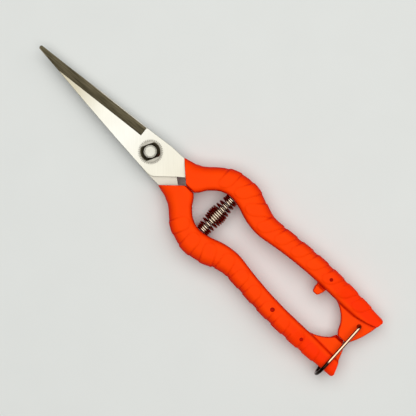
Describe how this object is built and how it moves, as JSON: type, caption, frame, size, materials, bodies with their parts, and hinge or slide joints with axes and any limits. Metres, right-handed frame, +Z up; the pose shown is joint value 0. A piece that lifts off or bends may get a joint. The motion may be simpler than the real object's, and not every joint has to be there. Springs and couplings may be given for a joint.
{
  "type": "floral snips",
  "caption": "Floral snips with slim pointed blades crossed on a bolted pivot, moulded orange grips, a barrel spring and a swinging wire lock.",
  "frame": {"origin": "under the middle of the tool as it lies flat, on the surface that the grips rest on", "axes": "+X along the blades to the tips, +Y across the tool towards the grip of the lower blade, +Z up through the nut"},
  "size_m": [0.1906, 0.043, 0.013],
  "materials": {
    "blade_steel": "satin ground tool steel with a dark ground bevel",
    "grip_plastic": "bright orange moulded plastic, semi-gloss",
    "bolt_steel": "turned bright steel",
    "nut_steel": "plated steel with mirror-like flats",
    "washer_steel": "stamped spring steel",
    "spring_steel": "polished spring wire",
    "lock_steel": "drawn bright wire"
  },
  "bodies": {
    "upper_lever": {"upper_blade": "blade_steel", "upper_grip": "grip_plastic", "pivot_bolt": "bolt_steel", "pivot_nut": "nut_steel", "toothed_washer": "washer_steel", "coil_spring": "spring_steel"},
    "lower_lever": {"lower_blade": "blade_steel", "lower_grip": "grip_plastic"},
    "wire_lock": {"lock_wire": "lock_steel"}
  },
  "joints": [
    {"name": "snips_open", "type": "hinge", "parent": "upper_lever", "child": "lower_lever", "pos_m": [0.02875, 0, 0.0065], "axis": [0, 0, -1], "range_deg": [0, 14], "deforming": ["coil_spring"]},
    {"name": "lock_swing", "type": "hinge", "parent": "upper_lever", "child": "wire_lock", "pos_m": [-0.08895, -0.00755, 0.0065], "axis": [0, 0, 1], "range_deg": [0, 225]}
  ],
  "couplings": [
    {"joint": "lock_swing", "follows": "snips_open", "ratio": 16}
  ]
}
